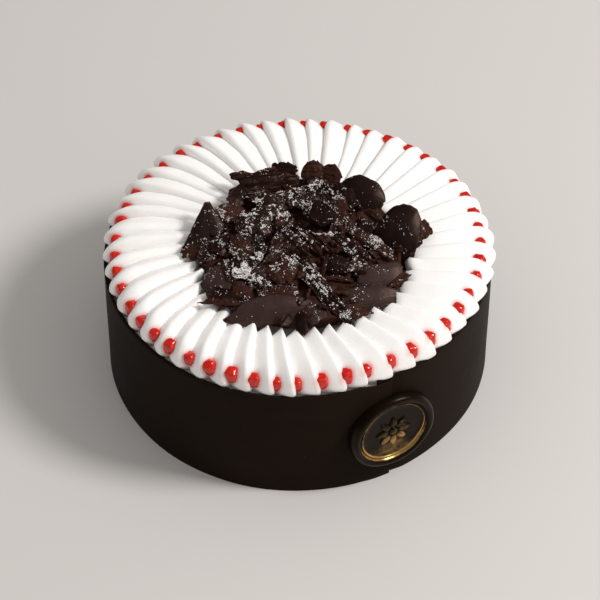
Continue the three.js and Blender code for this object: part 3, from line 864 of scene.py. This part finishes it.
def make_shaving(number, details):
    """One shaving: a broken plate, curled across and bowed along, then roughened."""
    kind = KINDS[details["kind"]]
    steps_long = max(8, min(60, round(details["long"] * STEPS_LONG)))
    steps_wide = max(6, min(34, round(details["wide"] * STEPS_WIDE)))
    piece = start_piece(
        bpy.ops.mesh.primitive_grid_add, x_subdivisions=steps_long,
        y_subdivisions=steps_wide, size=2,
    )
    seed = Vector((number * 7.3, number * 1.9, number * 3.7))
    brown_and_sheen = piece.data.attributes.new("brown_and_sheen", "FLOAT", "POINT")
    sugar = piece.data.attributes.new("sugar", "FLOAT", "POINT")
    tone = noise.noise(seed) * 0.25
    draw = random.Random(number)
    # Round and pointed ones are whole, and the others have their two ends broken off
    whole = details["form"] in ("round", "point")
    ragged = kind["ragged"] * (0.4 if whole else 1)
    cuts = []
    for end in range(2):
        turn = end * math.pi + draw.uniform(-0.7, 0.7)
        if not whole:
            cuts.append((Vector((math.cos(turn), math.sin(turn), 0)), draw.uniform(0.72, 1.1)))
    for vertex in piece.data.vertices:
        edge = max(abs(vertex.co.x), abs(vertex.co.y))
        broken = smoothstep(edge + 0.12 * noise.noise(vertex.co * 3 + seed), 0.86, 1.0)
        # Below 0 the colour goes pale: bloom with painted sheen
        brown_and_sheen_value = kind["brown_and_sheen"] + tone + 0.7 * broken
        brown_and_sheen.data[vertex.index].value = min(1.0, max(-1.0, brown_and_sheen_value))
        sugar.data[vertex.index].value = details["sugar"]
    # It is thinner towards its edges. The group comes last, as it moves the attributes' data
    thin = piece.vertex_groups.new(name="thin")
    for vertex in piece.data.vertices:
        edge = max(abs(vertex.co.x), abs(vertex.co.y))
        thin.add([vertex.index], 1 - 0.55 * smoothstep(edge, 0.45, 1.0), "REPLACE")

    def curled(point):
        """Breaks the ends off straight, lets the outline wander, and curls and grooves it."""
        point = point.copy()
        for across, reach in cuts:
            beyond = point.dot(across) - reach
            if beyond > 0:
                point -= across * (beyond - 0.05 * (1 - math.exp(-beyond / 0.05)))
        side = noise.noise(Vector((point.x * 2.2, point.y * 0.4, 0)) + seed)
        side += 0.5 * noise.noise(Vector((point.x * 6, point.y * 0.4, 5)) + seed)
        end = noise.noise(Vector((point.y * 1.6, point.x * 0.3, 9)) + seed)
        end += 0.6 * noise.noise(Vector((point.y * 5, point.x * 0.3, 2)) + seed)
        along = point.x * (1 + ragged * end * 1.3)
        x, drop_along = arc(along, details["long"] / 2, details["bow"])
        half_wide = details["wide"] / 2 * FORMS[details["form"]](point.x)
        y, drop_across = arc(point.y, half_wide * (1 + ragged * side * 1.6), details["curl"])
        lines = noise.noise(Vector((x * 0.03, y * 1.1, 0)) + seed)
        z = drop_along + drop_across + kind["grooves"] * lines * 1.4
        z += kind["lumps"] * noise.noise(Vector((x, y, 0)) * 0.16 + seed) * 1.4
        return Vector((x, y, z))

    reshape(piece, curled)
    apply_modifier(piece, "SOLIDIFY", thickness=kind["thick"], offset=0, vertex_group="thin")

    def roughened(point):
        """Roughens the surface with grit of three sizes."""
        grit = noise.noise_vector(point * 0.7 + seed) + 0.6 * noise.noise_vector(point * 1.6 + seed)
        grit += 0.3 * noise.noise_vector(point * 3.1 + seed)
        return point + grit * kind["grit"]

    reshape(piece, roughened)
    roll, rise, turn = (math.radians(details[key]) for key in ("roll", "rise", "turn"))
    placed = Matrix.Rotation(turn, 4, "Z") @ Matrix.Rotation(-rise, 4, "Y")
    placed = placed @ Matrix.Rotation(roll, 4, "X")
    piece.data.transform(HEAP_TURN @ Matrix.Translation(details["at"]) @ placed)
    return piece


def shaved_chocolate():
    finish = Finish("shaved_chocolate", specular_ior_level=0.22, specular_tint=(1.0, 0.70, 0.58, 1))
    place = finish.place()
    brown_and_sheen = finish.attribute("brown_and_sheen")
    patches = finish.noise(place, 140, 4, 0.6)
    grain = finish.noise(place, 900, 3, 0.7)
    crumbly = (brown_and_sheen + (patches - 0.5) * 0.9).rise(0.25, 0.85)
    bloom_and_sheen = finish.blend(patches, (0.0035, 0.0015, 0.0011), (0.0195, 0.0092, 0.0077))
    # Towards pale purplish-grey where the attribute is below 0: partly bloom, partly painted sheen
    bloom_and_sheen = finish.blend((0 - brown_and_sheen) * (0.5 + patches), bloom_and_sheen, (0.0430, 0.0250, 0.0235))
    broken = finish.blend(grain, (0.0020, 0.0007, 0.0005), (0.0680, 0.0225, 0.0150))
    chocolate = finish.blend(crumbly, bloom_and_sheen, broken)
    # Sugar that has settled in the pores shows as a thin film with fine specks
    normal = finish.node("NewGeometry", {}, {}, "Normal")
    upward = finish.node("SeparateXYZ", {}, {"Vector": normal}, "Z")
    specks = finish.node("TexVoronoi", {}, {"Vector": place, "Scale": 1100.0}, "Distance")
    drift = finish.noise(place, 210, 3).rise(0.48, 0.66)
    film = finish.attribute("sugar") * upward.rise(0.3, 0.9) * drift
    sugared = film * (1 - specks.rise(0.2, 0.42)) * 0.35
    finish.set("Base Color", finish.blend(sugared, chocolate, (0.70, 0.66, 0.63)))
    finish.set("Roughness", 0.36 + crumbly * 0.22 + grain * 0.1 + sugared * 0.2)
    finish.bump(patches * 0.25 + grain * (0.1 + crumbly * 0.7), 0.5, 0.55)
    return finish.material


chocolate = shaved_chocolate()
heap = join(
    [make_shaving(number, details) for number, details in enumerate(SHAVINGS)], "heap_of_shavings"
)
# What the sugar needs to know of the heap, while it is still in millimetres
heap_tree = BVHTree.FromPolygons(
    [vertex.co.copy() for vertex in heap.data.vertices],
    [tuple(face.vertices) for face in heap.data.polygons],
)
point_sugar = [value.value for value in heap.data.attributes["sugar"].data]
face_sugar = [point_sugar[face.vertices[0]] for face in heap.data.polygons]
finish_mesh(heap, chocolate, sharp=38)
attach(heap, "root")
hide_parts("shavings_heap")


# The bed: finer scrapings of the same chocolate, which the heap is packed with. They show as
# dark, rough ground between the shavings.
CORE_TOP = 16.0
DOME_RADIUS = 51.0
BED_BROWN = 0.8
bed = start_piece(bpy.ops.mesh.primitive_uv_sphere_add, segments=160, ring_count=90, radius=1)


def packed(point):
    """Where a point of the sphere lies on the bed: a lumpy top, and a foot on the cake."""
    angle = math.atan2(point.y, point.x)
    away = math.hypot(point.x, point.y)
    if point.z > 0:
        radius = away * DOME_RADIUS
        height = COLLAR_HEIGHT + mix(CORE_FOOT, CORE_TOP, point.z)
    else:
        radius = mix(away, 1, 0.5 * (away > 0.2)) * DOME_RADIUS
        height = mix(COLLAR_HEIGHT + CORE_FOOT, PETALS_BASE, min(1.0, -point.z * 1.2))
    spot = polar(radius, angle, height) + Vector((HEAP_CENTRE.x, HEAP_CENTRE.y, 0))
    if point.z > 0:
        spot += noise.noise_vector(spot * 0.22) * 2.2 + noise.noise_vector(spot * 0.6) * 1.2
    return spot


reshape(bed, packed)
brown_and_sheen = bed.data.attributes.new("brown_and_sheen", "FLOAT", "POINT")
for value in brown_and_sheen.data:
    value.value = BED_BROWN
finish_mesh(bed, chocolate)
bed.name = "bed_of_scrapings"
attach(bed, "root")
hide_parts("shavings_heap")


# The sugar: icing sugar sieved over the heap. It has clotted into grains, which caught on the
# upper sides of the shavings, thickly in some spots and thinly all over.
SUGAR_GRAINS = 20000
SUGAR_TRIES = 260000
GRAIN_SIZE = (0.11, 0.32)
SUGAR_REACH = 62.0
SUGAR_CENTRE = Vector((1, -9, 130))
THIN_SUGAR = 0.018


def icing_sugar():
    finish = Finish("icing_sugar", roughness=0.7)
    lumps = finish.noise(finish.place(), 1400, 2)
    finish.set("Base Color", finish.blend(lumps, (0.72, 0.68, 0.66), (0.90, 0.88, 0.86)))
    finish.bump(lumps, 0.1, 0.5)
    return finish.material


grain = start_piece(bpy.ops.mesh.primitive_uv_sphere_add, segments=4, ring_count=2, radius=1)
grain_points = [vertex.co.copy() for vertex in grain.data.vertices]
grain_faces = [tuple(face.vertices) for face in grain.data.polygons]
bpy.data.objects.remove(grain)
draw = random.Random(11)
points = []
faces = []
grains = 0
for _ in range(SUGAR_TRIES):
    across = draw.uniform(-SUGAR_REACH, SUGAR_REACH)
    along = draw.uniform(-SUGAR_REACH, SUGAR_REACH)
    start = Vector((across + SUGAR_CENTRE.x, along + SUGAR_CENTRE.y, SUGAR_CENTRE.z))
    spot, normal, face, _ = heap_tree.ray_cast(start, Vector((0, 0, -1)))
    if spot is None:
        continue
    clot = noise.noise(spot * 0.16) + 0.9 * noise.noise(spot * 0.55) + 0.2
    chance = face_sugar[face] * smoothstep(abs(normal.z), 0.25, 0.85)
    chance *= mix(THIN_SUGAR, 1, smoothstep(clot, 0.4, 0.8))
    if draw.random() > chance or grains >= SUGAR_GRAINS:
        continue
    grains += 1
    size = mix(*GRAIN_SIZE, draw.random() ** 2)
    turn = Euler([draw.uniform(0, 6.28) for _ in range(3)]).to_matrix()
    stretch = Vector((size * draw.uniform(0.8, 1.5), size, size * draw.uniform(0.6, 1.0)))
    first = len(points)
    for point in grain_points:
        points.append(spot + turn @ Vector((a * b for a, b in zip(point, stretch))))
    faces += [tuple(first + corner for corner in corners) for corners in grain_faces]
sugar_mesh = bpy.data.meshes.new("icing_sugar")
sugar_mesh.from_pydata(points, [], faces)
sugar = bpy.data.objects.new("icing_sugar", sugar_mesh)
bpy.context.scene.collection.objects.link(sugar)
finish_mesh(sugar, icing_sugar())
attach(sugar, "root")
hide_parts("shavings_heap")


# The floor and the studio: a plain pale floor, under the soft light of a large lamp that stands
# high at the right and a little in front, with fill from the sky.
SKY_COLOUR = (1.0, 0.972, 0.95, 1)
SKY_STRENGTH = 0.55
LAMP_PLACE = Vector((1.0, -0.80, 1.42))
LAMP_AIM = Vector((0, 0, 0.08))
LAMP_SIZE = 0.5
LAMP_POWER = 27.5
LAMP_COLOUR = (1.0, 0.975, 0.955)


def floor_paint():
    finish = Finish("floor_paint", roughness=0.8)
    patches = finish.noise(finish.place(), 3)
    finish.set("Base Color", finish.blend(patches, (0.60, 0.58, 0.56), (0.63, 0.61, 0.59)))
    return finish.material


floor = start_piece(bpy.ops.mesh.primitive_plane_add, size=12)
floor.data.materials.append(floor_paint())
floor.name = "floor"

world = bpy.data.worlds.new("studio")
bpy.context.scene.world = world
world.use_nodes = True
sky = world.node_tree.nodes["Background"]
sky.inputs["Color"].default_value = SKY_COLOUR
sky.inputs["Strength"].default_value = SKY_STRENGTH
# The sky lights the cake, but isn't mirrored in the dark chocolate
world.cycles_visibility.glossy = False

lamp_data = bpy.data.lights.new("key", "AREA")
lamp_data.shape = "DISK"
lamp_data.size = LAMP_SIZE
lamp_data.energy = LAMP_POWER
lamp_data.color = LAMP_COLOUR
lamp = bpy.data.objects.new("key", lamp_data)
bpy.context.scene.collection.objects.link(lamp)
lamp.location = LAMP_PLACE
lamp.rotation_euler = (LAMP_AIM - LAMP_PLACE).to_track_quat("-Z", "Y").to_euler()

# The camera stands where the photograph was taken from: 45 degrees up, the seal to the right
CAMERA_TARGET = Vector((1.35, -0.72, 36.7)) / METRE
CAMERA_DISTANCE = 1.421
CAMERA_LENS = 160.4
CAMERA_SENSOR = 36
ELEVATION = math.radians(45.14)
camera_data = bpy.data.cameras.new("camera")
camera_data.lens = CAMERA_LENS
camera_data.sensor_width = CAMERA_SENSOR
camera = bpy.data.objects.new("camera", camera_data)
bpy.context.scene.collection.objects.link(camera)
back = polar(math.cos(ELEVATION), VIEW_TURN - math.radians(90), math.sin(ELEVATION))
camera.location = CAMERA_TARGET + back * CAMERA_DISTANCE
camera.rotation_euler = (-back).to_track_quat("-Z", "Y").to_euler()
bpy.context.scene.camera = camera
bpy.context.scene.view_settings.view_transform = "Standard"
